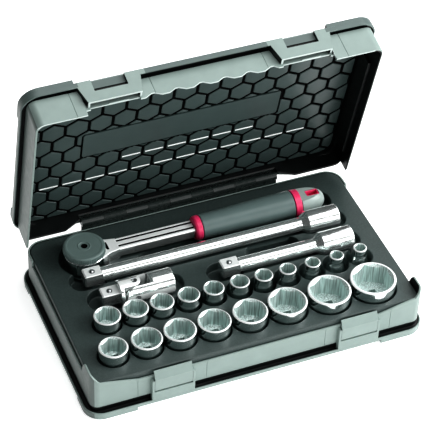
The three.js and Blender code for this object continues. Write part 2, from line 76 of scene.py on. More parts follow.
# ---------- outlines ----------
def arc(cx, cy, r, a0, a1, steps):
    """points on an arc, angles in degrees"""
    angles = np.radians(np.linspace(a0, a1, steps + 1))
    return [(cx + r * math.cos(a), cy + r * math.sin(a)) for a in angles]


def rounded_rect(hx, hy, r, cx=0, cy=0, steps=10):
    out = []
    for k, (sx, sy) in enumerate(((1, -1), (1, 1), (-1, 1), (-1, -1))):
        a = -90 + 90 * k
        out += arc(cx + sx * (hx - r), cy + sy * (hy - r), r, a, a + 90, steps)
    return out


def circle(r, steps=48, cx=0, cy=0):
    return arc(cx, cy, r, 0, 360 * (steps - 1) / steps, steps - 1)


def fillet(points, radius, steps=4, closed=False):
    """the polyline with its corners rounded; radius is one number, or one per point"""
    out = []
    count = len(points)
    for i, point in enumerate(points):
        r = radius[i] if hasattr(radius, "__len__") else radius
        if r <= 0 or (not closed and i in (0, count - 1)):
            out.append(tuple(point))
            continue
        p = np.array(point, float)
        u = np.array(points[i - 1], float) - p
        v = np.array(points[(i + 1) % count], float) - p
        lu, lv = np.linalg.norm(u), np.linalg.norm(v)
        u, v = u / lu, v / lv
        half = math.acos(float(np.clip(u @ v, -1, 1))) / 2
        if half > 1.55:
            out.append(tuple(point))
            continue
        trim = min(r / math.tan(half), 0.48 * lu, 0.48 * lv)
        r = trim * math.tan(half)
        middle = p + (u + v) / np.linalg.norm(u + v) * (r / math.sin(half))
        start, end = p + u * trim - middle, p + v * trim - middle
        a0 = math.atan2(start[1], start[0])
        turn = (math.atan2(end[1], end[0]) - a0 + math.pi) % (2 * math.pi) - math.pi
        for k in range(steps + 1):
            a = a0 + turn * k / steps
            out.append((middle[0] + r * math.cos(a), middle[1] + r * math.sin(a)))
    return out


def grow(outline, d):
    """closed counter-clockwise outline moved outwards by d"""
    p = np.array(outline, float)
    before, after = p - np.roll(p, 1, 0), np.roll(p, -1, 0) - p
    normals = []
    for side in (before, after):
        n = np.stack([side[:, 1], -side[:, 0]], 1)
        normals.append(n / np.maximum(np.linalg.norm(n, axis=1, keepdims=True), 1e-9))
    n = normals[0] + normals[1]
    n /= np.linalg.norm(n, axis=1, keepdims=True)
    stretch = np.clip((n * normals[0]).sum(1), 0.35, 1)
    return [tuple(q) for q in p + n * (d / stretch)[:, None]]


# ---------- meshes ----------
def add(name, data):
    obj = bpy.data.objects.new(name, data)
    bpy.context.scene.collection.objects.link(obj)
    return obj


def make(name, verts, faces):
    mesh = bpy.data.meshes.new(name)
    mesh.from_pydata([tuple(c * MM for c in v) for v in verts], [], faces)
    mesh.validate()
    return add(name, mesh)


def band(a, b, n):
    """quads between two rings of n points, from their first vertices a and b"""
    return [(a + i, a + (i + 1) % n, b + (i + 1) % n, b + i) for i in range(n)]


def loft(name, rings, caps=True, loop=False):
    """closed skin through rings that all have the same number of points"""
    n = len(rings[0])
    verts = [p for ring in rings for p in ring]
    faces = []
    for k in range(len(rings) if loop else len(rings) - 1):
        faces += band(k * n, (k + 1) % len(rings) * n, n)
    if caps and not loop:
        faces.append(tuple(reversed(range(n))))
        faces.append(tuple(range(len(verts) - n, len(verts))))
    obj = make(name, verts, faces)
    mend(obj)
    return obj


def mend(obj):
    """faces all out, doubled points merged"""
    b = bmesh.new()
    b.from_mesh(obj.data)
    bmesh.ops.remove_doubles(b, verts=b.verts, dist=1e-7)
    bmesh.ops.recalc_face_normals(b, faces=b.faces)
    b.to_mesh(obj.data)
    b.free()


def upright(outline, z):
    """flat ring of an outline at one height"""
    return [(x, y, z) for x, y in outline]


def lathe(name, profile, steps=64, axis="z", at=(0, 0, 0), loop=False):
    """turned body: profile is [(radius, height), ...]; ends on the axis unless it loops"""
    rings = []
    for r, h in profile:
        r = max(r, 1e-4)
        ring = [(r * math.cos(t), r * math.sin(t), h) for t in np.linspace(0, 2 * math.pi, steps, False)]
        rings.append(ring)
    obj = loft(name, rings, loop=loop)
    turn = {
        "z": Matrix.Identity(4),
        "x": Matrix.Rotation(math.pi / 2, 4, "Y"),
        "y": Matrix.Rotation(-math.pi / 2, 4, "X"),
    }
    obj.data.transform(Matrix.Translation(Vector(at) * MM) @ turn[axis])
    return obj


def rod(r, start, end):
    """profile of a plain solid rod for lathe()"""
    return [(0, start), (r, start), (r, end), (0, end)]


def plate(name, outline, z0, z1, top=0.5, bottom=0.5, steps=3):
    """prism of an outline with rounded upper and lower edges"""
    levels = []
    for k in range(steps + 1):
        a = math.pi / 2 * k / steps
        levels.append((-bottom * (1 - math.sin(a)), z0 + bottom * (1 - math.cos(a))))
    for k in range(steps + 1):
        a = math.pi / 2 * k / steps
        levels.append((-top * (1 - math.cos(a)), z1 - top * (1 - math.sin(a))))
    return loft(name, [upright(grow(outline, d) if d else outline, z) for d, z in levels])


def block(name, low, high, edge=0.4, steps=2):
    """box with bevelled edges"""
    (x0, y0, z0), (x1, y1, z1) = low, high
    obj = loft(name, [upright([(x0, y0), (x1, y0), (x1, y1), (x0, y1)], z) for z in (z0, z1)])
    if edge:
        bevel(obj, edge, steps)
    return obj


def along_x(name, outline, x0, x1, edge=0.3):
    """prism along X of an outline in (y, z)"""
    obj = loft(name, [[(x, y, z) for y, z in outline] for x in (x0, x1)])
    if edge:
        bevel(obj, edge, 2)
    return obj


def bevel(obj, width, steps=2, angle=35):
    b = bmesh.new()
    b.from_mesh(obj.data)
    sharp = [e for e in b.edges if len(e.link_faces) == 2 and e.calc_face_angle(0) > math.radians(angle)]
    bmesh.ops.bevel(b, geom=sharp, offset=width * MM, segments=steps, profile=0.5, affect="EDGES",
                    clamp_overlap=True)
    b.to_mesh(obj.data)
    b.free()


def combine(obj, how, tools):
    """joins to or cuts from obj; the tools are used up"""
    for tool in tools:
        m = obj.modifiers.new("op", "BOOLEAN")
        m.operation = how
        m.solver = "MANIFOLD"
        m.object = tool
    bpy.context.view_layer.update()
    evaluated = obj.evaluated_get(bpy.context.evaluated_depsgraph_get())
    mesh = bpy.data.meshes.new_from_object(evaluated)
    obj.modifiers.clear()
    obj.data = mesh
    for tool in tools:
        bpy.data.objects.remove(tool)
    return obj


def cut(obj, *tools):
    return combine(obj, "DIFFERENCE", tools)


def join(obj, *tools):
    return combine(obj, "UNION", tools)


def turn_about(obj, matrix):
    obj.data.transform(matrix)
    return obj


def cover(obj, *mats):
    """sets the object's materials"""
    obj.data.materials.clear()
    for mat in mats:
        obj.data.materials.append(mat)


def paint(obj, mats, choose):
    """gives each face the material whose number choose(middle, normal) returns"""
    cover(obj, *mats)
    for face in obj.data.polygons:
        face.material_index = choose(Vector(face.center) / MM, face.normal)
    return obj


def outside_by(x, y, hx, hy, r):
    """distance outside a rounded rectangle, negative inside"""
    u, v = abs(x) - hx + r, abs(y) - hy + r
    return math.hypot(max(u, 0), max(v, 0)) + min(max(u, v), 0) - r


def finish_piece(obj, body, material, nodes=(), angle=32):
    """shading, material, body, and the CAD nodes that the piece stands for"""
    if not any(obj.data.materials):
        cover(obj, material)
    obj.data.shade_smooth()
    obj.data.set_sharp_from_angle(angle=math.radians(angle))
    weighted = obj.modifiers.new("weighted", "WEIGHTED_NORMAL")
    weighted.keep_sharp = True
    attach(obj, body)
    if nodes:
        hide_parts(*nodes)
    return obj


# ---------- materials ----------
SMUDGE_SIZE = 6


def material(name, colour, rough, metal=0.0, grain=0.0, grain_size=0.5, stretch=(1, 1, 1), mottle=0.04,
             mottle_size=14, rough_vary=0.05, spec=0.5, coat=0.0):
    """one procedural surface: colour mottle, roughness variation and a fine bump, sizes in mm"""
    mat = bpy.data.materials.new(name)
    mat.use_nodes = True
    nodes, links = mat.node_tree.nodes, mat.node_tree.links
    shader = nodes["Principled BSDF"]
    shader.inputs["Metallic"].default_value = metal
    shader.inputs["Specular IOR Level"].default_value = spec
    shader.inputs["Coat Weight"].default_value = coat
    place = nodes.new("ShaderNodeTexCoord")
    scaled = nodes.new("ShaderNodeMapping")
    scaled.inputs["Scale"].default_value = stretch
    links.new(place.outputs["Object"], scaled.inputs["Vector"])

    def noise(size, detail):
        n = nodes.new("ShaderNodeTexNoise")
        n.inputs["Scale"].default_value = 1 / (size * MM)
        n.inputs["Detail"].default_value = detail
        links.new(scaled.outputs["Vector"], n.inputs["Vector"])
        return n.outputs["Fac"]

    def spread(value, low, high):
        m = nodes.new("ShaderNodeMapRange")
        for key, number in (("From Min", 0.3), ("From Max", 0.7), ("To Min", low), ("To Max", high)):
            m.inputs[key].default_value = number
        links.new(value, m.inputs["Value"])
        return m.outputs["Result"]

    mix = nodes.new("ShaderNodeMix")
    mix.data_type = "RGBA"
    mix.inputs["A"].default_value = (*[c * (1 - mottle) for c in colour], 1)
    mix.inputs["B"].default_value = (*[c * (1 + mottle) for c in colour], 1)
    links.new(spread(noise(mottle_size, 3), 0, 1), mix.inputs["Factor"])
    links.new(mix.outputs["Result"], shader.inputs["Base Color"])
    smudges = noise(SMUDGE_SIZE, 4)
    smoothest = max(0.02, rough - rough_vary)
    links.new(spread(smudges, smoothest, rough + rough_vary), shader.inputs["Roughness"])
    if grain:
        bump = nodes.new("ShaderNodeBump")
        bump.inputs["Strength"].default_value = 1
        bump.inputs["Distance"].default_value = grain * MM
        links.new(noise(grain_size, 2), bump.inputs["Height"])
        links.new(bump.outputs["Normal"], shader.inputs["Normal"])
    return mat


SHELL = material("shell_plastic", (0.275, 0.345, 0.325), 0.42, grain=0.012)
# painted shade: a darker copy of the shell plastic, put on the side walls
SIDE_PAINTED_SHADE = material("shell_plastic_side_painted_shade", (0.13, 0.165, 0.155), 0.4, grain=0.012)
# painted shade: a darker copy of the shell plastic, put on the lips and on the floor of each pad's slot
LIP_PAINTED_SHADE = material("shell_plastic_lip_painted_shade", (0.125, 0.165, 0.158), 0.42, grain=0.012)
# painted highlight: a lighter copy of the shell plastic, put on the lower rims of the lid's front and its
# pads
EDGE_PAINTED_HIGHLIGHT = material("shell_plastic_edge_painted_highlight", (0.55, 0.63, 0.61), 0.35)
TRAY = material("tray_plastic", (0.060, 0.082, 0.079), 0.40, grain=0.05, grain_size=0.6,
                mottle=0.15, mottle_size=1.2)
LINER = material("liner_plastic", (0.062, 0.089, 0.086), 0.34, rough_vary=0.03)
# painted shade: near-black, put in the grooves between the liner's pads, in the ratchet shank's flutes and
# in the dial's dish
GROOVE_PAINTED_SHADE = material("groove_black_painted_shade", (0.003, 0.003, 0.003), 0.8, grain=0.02, spec=0.1)
# painted shade: black, put on the case's inner faces, in the gutters under the lips and in the pads'
# hollows and slots
BLACK_PAINTED_SHADE = material("black_plastic_painted_shade", (0.006, 0.008, 0.008), 0.4, grain=0.02)
HINGE_BLACK = material("hinge_plastic", (0.03, 0.04, 0.038), 0.28, grain=0.01)
CHROME = material("chrome", (0.84, 0.90, 0.89), 0.14, 1, grain=0.002, grain_size=0.8, mottle=0.02)
BAR = material("bar_chrome", (0.93, 0.97, 0.96), 0.2, 0.88, grain=0.002, grain_size=0.8, mottle=0.02)
# painted highlight: a near-white satin metal, put on faces that point up, on the sockets' rims and on the
# liner's ribs
SATIN_PAINTED_HIGHLIGHT = material("satin_chrome_painted_highlight", (0.95, 0.98, 0.97), 0.38, 0.25, grain=0.003, grain_size=0.35,
                 mottle=0.02)
BROACHED = material("broached_chrome", (0.70, 0.80, 0.78), 0.42, 0.6, grain=0.05,
                    stretch=(1, 1, 0.05), mottle=0.4, mottle_size=1.3)
STEEL = material("steel", (0.45, 0.47, 0.48), 0.3, 1, grain=0.004)
DIAL = material("dial_plastic", (0.165, 0.225, 0.215), 0.45, grain=0.03)
GRIP = material("grip_rubber", (0.15, 0.205, 0.20), 0.32, grain=0.02, grain_size=0.4)
RED = material("red_plastic", (0.86, 0.065, 0.19), 0.3, grain=0.01)
CAP = material("cap_plastic", (0.36, 0.43, 0.41), 0.35, grain=0.01)


# ---------- case ----------
WALL = 2.0
# corner radii of the wall at the front and back, and of the lip at the front
FRONT_R = 8.0
BACK_R = 16.0
BUMPER_R = 17.0
# lip: reach, thickness, height of its shelf off the face, upstand on the lid and on the base
LIP = 4.7
LIP_T = 1.6
LIP_Z = 4.0
LIP_H = 5.5
BASE_LIP_H = 3.4
# the lid's front corners stand out by LID_OUT and reach down over the base from SKIRT_X on
LID_OUT = 2.4
LID_TOP = 64.0
SKIRT_X = 114.0
SKIRT_Y = -60.0
SKIRT_RIM = 28.0
# rims: low at the front and sides, higher behind BACK_Y, and a guide at the base's front corners
RIM_LOW = 34.0
RIM_BACK = 40.0
BACK_Y = 70.0
GUIDE_X0 = 114.4
GUIDE_Y = -64.8
base_low, base_high = span("base_shell")
WALL_X = base_high.x - LIP
WALL_Y = -base_low.y - LIP
HINGE = Vector(JOINTS["lid_hinge"]["pos_m"]) / MM
OPEN_ANGLE = -JOINTS["lid_hinge"]["range_deg"][0]
LID_TURN = (
    Matrix.Translation(HINGE * MM)
    @ Matrix.Rotation(math.radians(-OPEN_ANGLE), 4, "X")
    @ Matrix.Translation(-HINGE * MM)
)
LATCHES = ["latch_left", "latch_right"]
LATCH_X = [centre(n).x for n in LATCHES]
# half widths of a latch block on the base, the room in it and the lever
BLOCK_HALF = 20.0
ROOM_HALF = 17.8
LEVER_HALF = 17.5
# latch pads on the lid, each with a slot through its upper part
PAD_X = [-87.3, 89.0]
PAD_HALF = 24.3
PAD_RIM = 37.0
PAD_FLANK = 5.5
PAD_Y = -WALL_Y - LIP - 2.3
WINDOW_Z = 47.5
SLOT_HALF = 15.0
SLOT_FOOT = 4.6
# creases stand this far from a block or pad; STEP is half the width of a sudden change
CREASE_GAP = 12.0
STEP = 0.3
GROOVE_TOP = 11.4
# round notches in the lid's front rim
NOTCH_HALF = 7.5
NOTCH_FLAT = 1.5
NOTCHES = [-53 + 22 * k for k in range(6)]
# opening for the hinge in the lid's back wall
HINGE_X = -3.0
HINGE_ROOM = 99.0
HINGE_RAMP = 16.0
HINGE_RIM = 53.0


def stations(front, side, back=(60, -60), steps=12):
    """where a ring's points lie: along each edge, then round the corner that follows it"""
    edges = [("front", sorted(front)), ("right", sorted(side)),
             ("back", sorted(back, reverse=True)), ("left", sorted(side, reverse=True))]
    out = []
    for k, corner in enumerate(((1, -1), (1, 1), (-1, 1), (-1, -1))):
        name, values = edges[k]
        out += [(name, value) for value in values]
        out += [(corner, a) for a in np.radians(np.linspace(-90 + 90 * k, 90 * k, steps + 1))]
    return out


def on_plan(station, hx, front_y, back_y, front_r, back_r):
    """point of a station on a rounded plan with the given half sizes and corner radii"""
    where, value = station
    if where in ("front", "back"):
        return (value, -front_y if where == "front" else back_y)
    if where in ("right", "left"):
        return (hx if where == "right" else -hx, value)
    sx, sy = where
    r, y = (front_r, front_y) if sy < 0 else (back_r, back_y)
    return (sx * (hx - r) + r * math.cos(value), sy * (y - r) + r * math.sin(value))


def at_place(value, place):
    """a number as it is, a function of the place worked out"""
    return value(*place) if callable(value) else value


def ring_at(points, out, z, front_r=None, back_r=None, out_x=None):
    """ring of the case's plan moved outwards; out and z may depend on the place on the wall"""
    ring = []
    for station in points:
        place = on_plan(station, WALL_X, WALL_Y, WALL_Y, FRONT_R, BACK_R)
        d = at_place(out, place)
        dx = d if out_x is None else at_place(out_x, place)
        fr = FRONT_R + d if front_r is None else front_r
        br = BACK_R + d if back_r is None else back_r
        x, y = on_plan(station, WALL_X + dx, WALL_Y + d, WALL_Y + d, max(fr, 0.5), max(br, 0.5))
        ring.append((x, y, at_place(z, place)))
    return ring


def level_rings(points, places):
    """plain rings at (out, z) pairs"""
    return [ring_at(points, d, z) for d, z in places]


def lip_rings(points, out, root, z, height):
    """J-shaped lip; z is its shelf away from the rim, its upstand points down on the lid"""
    s = math.copysign(1, height)
    raw = [(root, z), (out, z), (out, z + height), (out - LIP_T, z + height),
           (out - LIP_T, z + s * LIP_T), (root, z + s * LIP_T)]
    rings = []
    for d, level in fillet(raw, [0, 0.9, 0.75, 0.75, 0.5, 0], 4):
        share = min(1.0, max(0.0, (d - root) / (out - root)))
        front_r = FRONT_R + (BUMPER_R - FRONT_R) * share ** 0.5
        rings.append(ring_at(points, d, level, front_r, BACK_R + d))
    return rings


def foot(out, z0, z1, sx, sy):
    """the lip carried on to the case's flat face at one corner"""
    points = stations((-117, 117), (-69, 70))
    hx, hy = WALL_X + out, WALL_Y + out
    outer = [on_plan(q, hx, hy, hy, BUMPER_R, BACK_R + out) for q in points]
    hx, hy = WALL_X - WALL, WALL_Y - WALL
    inner = [on_plan(q, hx, hy, hy, FRONT_R, BACK_R - WALL) for q in points]
    keep = [i for i, (x, y) in enumerate(outer) if sx * x > (115 if sy < 0 else 130) and sy * y > 65]
    start = next(k for k, i in enumerate(keep) if (i - 1) % len(points) not in keep)
    keep = keep[start:] + keep[:start]
    plan = [outer[i] for i in keep] + [inner[i] for i in reversed(keep)]
    lower, upper = (0.1, 0.7) if z0 > 30 else (0.7, 0.1)
    return plate("foot", plan, z0, z1, upper, lower)


def case_plan(out):
    """outline of the case's wall moved outwards"""
    points = [q for q in stations((), ()) if q[0] != "back"]
    hx, hy = WALL_X + out, WALL_Y + out
    return [on_plan(q, hx, hy, hy, FRONT_R + out, BACK_R + out) for q in points]


def behind_lip(p, out):
    """inside the lip's upstand, seen from above"""
    corner = BUMPER_R if p.y < 0 else BACK_R + out
    return outside_by(p.x, p.y, WALL_X + out, WALL_Y + out, corner) < -LIP_T + 0.05


def stops(centres, width=0.5):
    """stations that each crease needs"""
    return [c + k * width for c in centres for k in (-1, -0.4, 0.4, 1)]


def creased(centres, depth=0.35, width=0.5):
    """shallow upright grooves in the front wall"""
    def offset(x, y):
        in_crease = y < -WALL_Y + 0.01 and any(abs(x - c) < width * 0.6 for c in centres)
        return -depth if in_crease else 0.0

    return offset


def base_rim(x, y):
    """height of the base's rim, which climbs into a guide at each front corner"""
    if y > BACK_Y:
        return RIM_BACK
    if y < GUIDE_Y and abs(x) > WALL_X - 0.01:
        rise = max(0.0, min(1.0, (GUIDE_Y - 3 - y) / 9))
        return RIM_LOW + 15.5 * math.sin(rise * math.pi / 2)
    if abs(x) > GUIDE_X0 and y < GUIDE_Y:
        ramp = (abs(x) - GUIDE_X0) / (WALL_X - GUIDE_X0)
        return RIM_LOW + 6 * min(1.0, ramp * 1.6) + 9.5 * max(0.0, ramp - 0.78) / 0.22
    return RIM_LOW


def case_base():
    marks = [x + s * (BLOCK_HALF + CREASE_GAP) for x in LATCH_X for s in (-1, 1)]
    front = [s * x for s in (-1, 1) for x in (GUIDE_X0 - STEP, GUIDE_X0, 128, 141)]
    side = [BACK_Y - STEP, BACK_Y + STEP, -30, 0, 35]
    side += [GUIDE_Y - k for k in (1, 3, 4.5, 6, 8, 10, 12)]
    points = stations(front + stops(marks), side)
    groove = creased(marks)
    rings = level_rings(points, [(-8, 0), (-1.2, 0), (-0.6, 0.3), (-0.3, 1.0)])
    rings += lip_rings(points, LIP, 0, LIP_Z, BASE_LIP_H)
    # a deep groove round the foot of the wall
    foot_groove = [(-1.0, LIP_Z + LIP_T + 0.4), (-1.0, GROOVE_TOP), (-0.3, GROOVE_TOP + 0.5)]
    rings += level_rings(points, foot_groove + [(groove, GROOVE_TOP + 0.9), (groove, 20)])

    def rim_ring(d, dz):
        """ring near the rim, with the creases on its outer side only"""
        outer = d > -0.6
        return ring_at(points, lambda x, y: d + groove(x, y) * outer, lambda x, y: base_rim(x, y) + dz)

    rim = ((0, -0.7), (-0.2, -0.22), (-0.7, 0), (-1.3, 0), (-1.8, -0.22), (-WALL, -0.7))
    rings += [rim_ring(d, dz) for d, dz in rim]
    rings += level_rings(points, [(-WALL, 5), (-2.4, 3.2), (-3.4, 2.5), (-9, 2.5)])
    shell = loft("base_shell_moulding", rings)
    face = -WALL_Y - LIP + 0.2
    parts = [foot(LIP - 0.2, 0, LIP_Z + 0.6, sx, sy) for sx in (-1, 1) for sy in (-1, 1)]
    rooms = []
    for x in LATCH_X:
        low, high = (x - BLOCK_HALF, face, LIP_Z), (x + BLOCK_HALF, -WALL_Y + 0.5, 31)
        parts.append(block("latch_block", low, high, 0.5))
        low, high = (x - ROOM_HALF, face - 1, 16.8), (x + ROOM_HALF, -WALL_Y - 0.21, 32)
        rooms.append(block("room", low, high, 0.3))
    join(shell, *parts)
    cut(shell, *rooms)

    # painted shade: the inner faces and the gutter round the foot of the wall are black, the side walls
    # get the darker shell copy
    def skin(p, normal):
        d = outside_by(p.x, p.y, WALL_X, WALL_Y, FRONT_R if p.y < 0 else BACK_R)
        gutter_top = LIP_Z + 3 if d > 0 else GROOVE_TOP + 0.2
        gutter = behind_lip(p, LIP) and LIP_Z + 1 < p.z < gutter_top
        at_block = any(abs(p.x - x) < BLOCK_HALF + 0.1 for x in LATCH_X) and p.y < -WALL_Y - 0.1
        if d < -1.6 or (gutter and not at_block):
            return 1
        return 2 if abs(p.x) > WALL_X - 3 and abs(normal.x) > 0.6 else 0

    return paint(shell, [SHELL, BLACK_PAINTED_SHADE, SIDE_PAINTED_SHADE], skin)


def lid_rim(x, y):
    """height of the lid's rim when closed: lower at the corners, notched between the latch pads,
    and cut away behind the hinge, with a ramp at each end of the hinge"""
    if y > BACK_Y and abs(x) < WALL_X - 0.01:
        past = abs(x - HINGE_X) - HINGE_ROOM
        return HINGE_RIM if past < 0 else RIM_BACK + 0.4 + 7.5 * max(0.0, 1 - past / HINGE_RAMP)
    if abs(x) > WALL_X - 0.01 or (abs(x) > SKIRT_X + 0.1 and y < SKIRT_Y):
        return SKIRT_RIM
    if y < -WALL_Y + 0.01 and abs(x) < 62:
        near = min(abs(x - c) for c in NOTCHES)
        return RIM_LOW + 0.4 + 3.0 * max(0.0, min(1.0, (NOTCH_HALF - near) / (NOTCH_HALF - NOTCH_FLAT)))
    return RIM_LOW + 0.4


def latch_pad(x, lip_z):
    """one pad on the lid's front wall that a latch hooks over, and the cutters for its hollows"""
    a, b = x - PAD_HALF, x + PAD_HALF
    outline = [(a, PAD_RIM), (b, PAD_RIM), (b + PAD_FLANK, lip_z), (a - PAD_FLANK, lip_z)]
    pad = loft("pad", [[(u, y, v) for u, v in outline] for y in (-WALL_Y + 0.5, PAD_Y)])
    bevel(pad, 0.6, 2)
    inner = b - WALL
    slot = x + SLOT_HALF
    cutters = [
        ("hollow", inner, PAD_Y + 1.9, -WALL_Y + 0.5, 20, WINDOW_Z - 2, 0.3),
        ("rim_gap", inner, PAD_Y - 1, -92, 20, 36.5, 0),
        ("slot", slot, PAD_Y - 2, -98.4, WINDOW_Z, 70, 0),
        ("slot_foot", slot, PAD_Y - 2, -97.6, WINDOW_Z, WINDOW_Z + SLOT_FOOT, 0),
    ]
    cuts = []
    for name, right, y0, y1, z0, z1, edge in cutters:
        cuts.append(block(name, (2 * x - right, y0, z0), (right, y1, z1), edge))
    return pad, cuts


def case_lid():
    marks = [x + s * (PAD_HALF + CREASE_GAP) for x in PAD_X for s in (-1, 1)]
    corner = (SKIRT_X - STEP, SKIRT_X, SKIRT_X + STEP, 128, 141)
    front = [s * x for s in (-1, 1) for x in corner] + [-62.5, 62.5]
    for c in NOTCHES:
        front += [c - NOTCH_HALF, c - NOTCH_FLAT, c + NOTCH_FLAT, c + NOTCH_HALF]
    side = [GUIDE_Y - STEP, GUIDE_Y + STEP, SKIRT_Y, -20, 30, BACK_Y - STEP, BACK_Y + STEP]
    back = [HINGE_X + s * (HINGE_ROOM + t) for s in (-1, 1) for t in (-STEP, STEP, HINGE_RAMP)]
    points = stations(front + stops(marks), side, back)
    groove = creased(marks)

    def outside(share, inset=0.0):
        """front corners stand out; share tapers them towards the lip"""
        def offset(x, y):
            in_corner = abs(x) > SKIRT_X - 0.1 and y < 0
            return LID_OUT * share * in_corner + groove(x, y) - inset

        return offset

    def wall(share, z, inset=0.0):
        """ring of the outer wall at a height, or at a function of the place"""
        return ring_at(points, outside(share, inset), z, FRONT_R, FRONT_R, LID_OUT * share - inset)

    def above_rim(dz):
        return lambda x, y: lid_rim(x, y) + dz

    lip_z = LID_TOP - LIP_Z
    rings = level_rings(points, [(-8, LID_TOP), (-0.5, LID_TOP), (0, LID_TOP - 0.5)])
    rings += lip_rings(points, LIP + LID_OUT, 0, lip_z, -LIP_H)
    # a deep groove under the lip
    rings += [wall(1, 58.0, 1.0), wall(1, 55.0, 1.0)]
    rings += [wall(1, 54.2), wall(1, 46), wall(1, above_rim(0.8)), wall(0.9, above_rim(0.2))]
    rings.append(wall(1, lid_rim, 0.8))

    def inside(x, y):
        return 0.4 if abs(x) > SKIRT_X - 0.1 and y < SKIRT_Y else -WALL

    def inside_x(x, y):
        return 0.4 if abs(x) > WALL_X - 12 else -WALL

    def inner_ring(z, shift=0.0):
        return ring_at(points, lambda x, y: inside(x, y) + shift, z, FRONT_R, FRONT_R - 2,
                       lambda x, y: inside_x(x, y) + shift)

    def room_top(x, y):
        """height up to which the lid's wall leaves room for the base's rim"""
        if y < GUIDE_Y and abs(x) > SKIRT_X - 0.1:
            return 50.0
        if y > BACK_Y:
            return 54.0
        return 38.0 if abs(x) > WALL_X - 12 else 41.0

    def over_room(x, y):
        return room_top(x, y) + 0.6

    rings += [inner_ring(lid_rim, 0.6), inner_ring(above_rim(0.6)), inner_ring(room_top)]
    rings.append(ring_at(points, -WALL, over_room, FRONT_R - WALL, BACK_R - WALL))
    rings += level_rings(points, [(-WALL, 60.5), (-2.5, 61.6), (-3.4, 61.8), (-9, 61.8)])
    shell = loft("lid_shell_moulding", rings)
    pads, cuts = [], []
    for x in PAD_X:
        pad, hollows = latch_pad(x, lip_z)
        pads.append(pad)
        cuts += hollows
    out = LIP + LID_OUT - 0.2
    feet = [foot(out, lip_z - 0.6, LID_TOP, sx, sy) for sx in (-1, 1) for sy in (-1, 1)]
    join(shell, *pads, *feet)
    cut(shell, *cuts)
    ribs = [block("catch", (x - 9, -95.05, 36.5), (x + 9, -94, 37.5), 0.1, 1) for x in LATCH_X]
    join(shell, *ribs)

    # painted shade: the slot's floor gets the darker lip copy, and its sides, the hollows and the pads'
    # side faces are black; painted highlight: the pad's lower rim gets the lighter edge copy
    def pad_skin(p, normal, offset):
        if offset < SLOT_HALF + 0.1 and p.z > WINDOW_Z - 0.1 and p.y > PAD_Y + 0.4:
            return 3 if abs(normal.y) > 0.5 and p.z > WINDOW_Z + SLOT_FOOT + 0.1 else 1
        if p.z < PAD_RIM + 0.3:
            return 4
        hollow = offset < PAD_HALF - 1.5 and PAD_Y + 0.3 < p.y and p.z < 59
        return 1 if hollow or abs(normal.x) > 0.7 else 0

    def skin(p, normal):
        d = outside_by(p.x, p.y, WALL_X, WALL_Y, FRONT_R)
        offset = min(abs(p.x - x) for x in PAD_X)
        if p.y < -WALL_Y - 0.3 and offset < PAD_HALF + PAD_FLANK + 0.5:
            return pad_skin(p, normal, offset)
        ahead = outside_by(p.x + normal.x, p.y + normal.y, WALL_X, WALL_Y, FRONT_R)
        inward = normal.z < 0.5 and ahead < d + 0.2
        rim_top = SKIRT_RIM + 0.6 if abs(p.x) > SKIRT_X else RIM_LOW + 5
        rim = p.z < rim_top and normal.z < -0.6 and p.x < 150
        # painted shade: the inner faces are black
        if d < 2 and inward and p.z < 58 and not rim:
            return 1
        # painted highlight: the front rim gets the lighter edge copy
        if rim and p.y < -WALL_Y + 2:
            return 4
        gutter = behind_lip(p, LIP + LID_OUT) and lip_z - LIP_H + 0.2 < p.z < lip_z - 1
        # painted shade: the gutter and the groove under the lip are black
        if gutter or (d < LID_OUT - 0.2 and 54.6 < p.z < 58.2):
            return 1
        # painted shade: the side walls get the darker shell copy
        if abs(p.x) > WALL_X + 1 and abs(normal.x) > 0.6:
            return 2
        # painted shade: the lip gets the darker lip copy
        return 3 if d > LID_OUT + LIP - LIP_T - 0.1 and p.z > lip_z - LIP_H - 0.1 else 0

    return turn_about(paint(shell, [SHELL, BLACK_PAINTED_SHADE, SIDE_PAINTED_SHADE, LIP_PAINTED_SHADE, EDGE_PAINTED_HIGHLIGHT], skin), LID_TURN)


base = case_base()
finish_piece(base, "base", SHELL, ["base_shell"])
lid = case_lid()
finish_piece(lid, "lid", SHELL, ["lid_shell"])


def latch_lever(name):
    """lever that turns on its pin and hooks in over the catch rib"""
    pin = centre(f"{name}_pin")
    r = 2.1
    hinge_end = arc(pin.y, pin.z, r, 180, 360, 12)
    front, back = pin.y - r, pin.y + r
    arm = [(back, 30), (back, 37.6), (-94.6, 38.1), (-94.6, 39.9), (-95.7, 39.9), (front - 0.2, 32),
           (front, 31.4), (front, 28)]
    outline = hinge_end + fillet(arm, [0, 0.4, 0.3, 0.4, 0.5, 0.5, 0.3, 0], 3)
    return along_x(f"{name}_lever", outline, pin.x - LEVER_HALF, pin.x + LEVER_HALF, 0)


for name in LATCHES:
    finish_piece(latch_lever(name), name, SHELL, [name])

# ---------- lid liner ----------
LINER_Z = 57.5
LINER_TOP = 61.5
LINER_INSET = WALL + 1.0
HEX_PITCH = 22.0
HEX_ROW = 19.05
HEX_GAP = 2.6
PAD_RISE = 2.6
LABEL_Y = -9.0
LABEL_HALF_Y = 16.0


def hexagon(r, cx, cy):
    angles = [math.radians(a) for a in range(0, -360, -60)]
    return [(cx + r * math.sin(a), cy + r * math.cos(a)) for a in angles]


def hexagons(reach_x, reach_y):
    """outline and middle of every embossed hexagon within reach"""
    found = []
    r = (HEX_PITCH - HEX_GAP) / math.sqrt(3)
    for row in range(-6, 7):
        for col in range(-8, 9):
            cx = (col + 0.5 * (row % 2)) * HEX_PITCH
            cy = row * HEX_ROW
            if abs(cx) < reach_x + r and abs(cy) < reach_y + r:
                found.append((fillet(hexagon(r, cx, cy), 1.2, 2, closed=True), cx, cy))
    return found


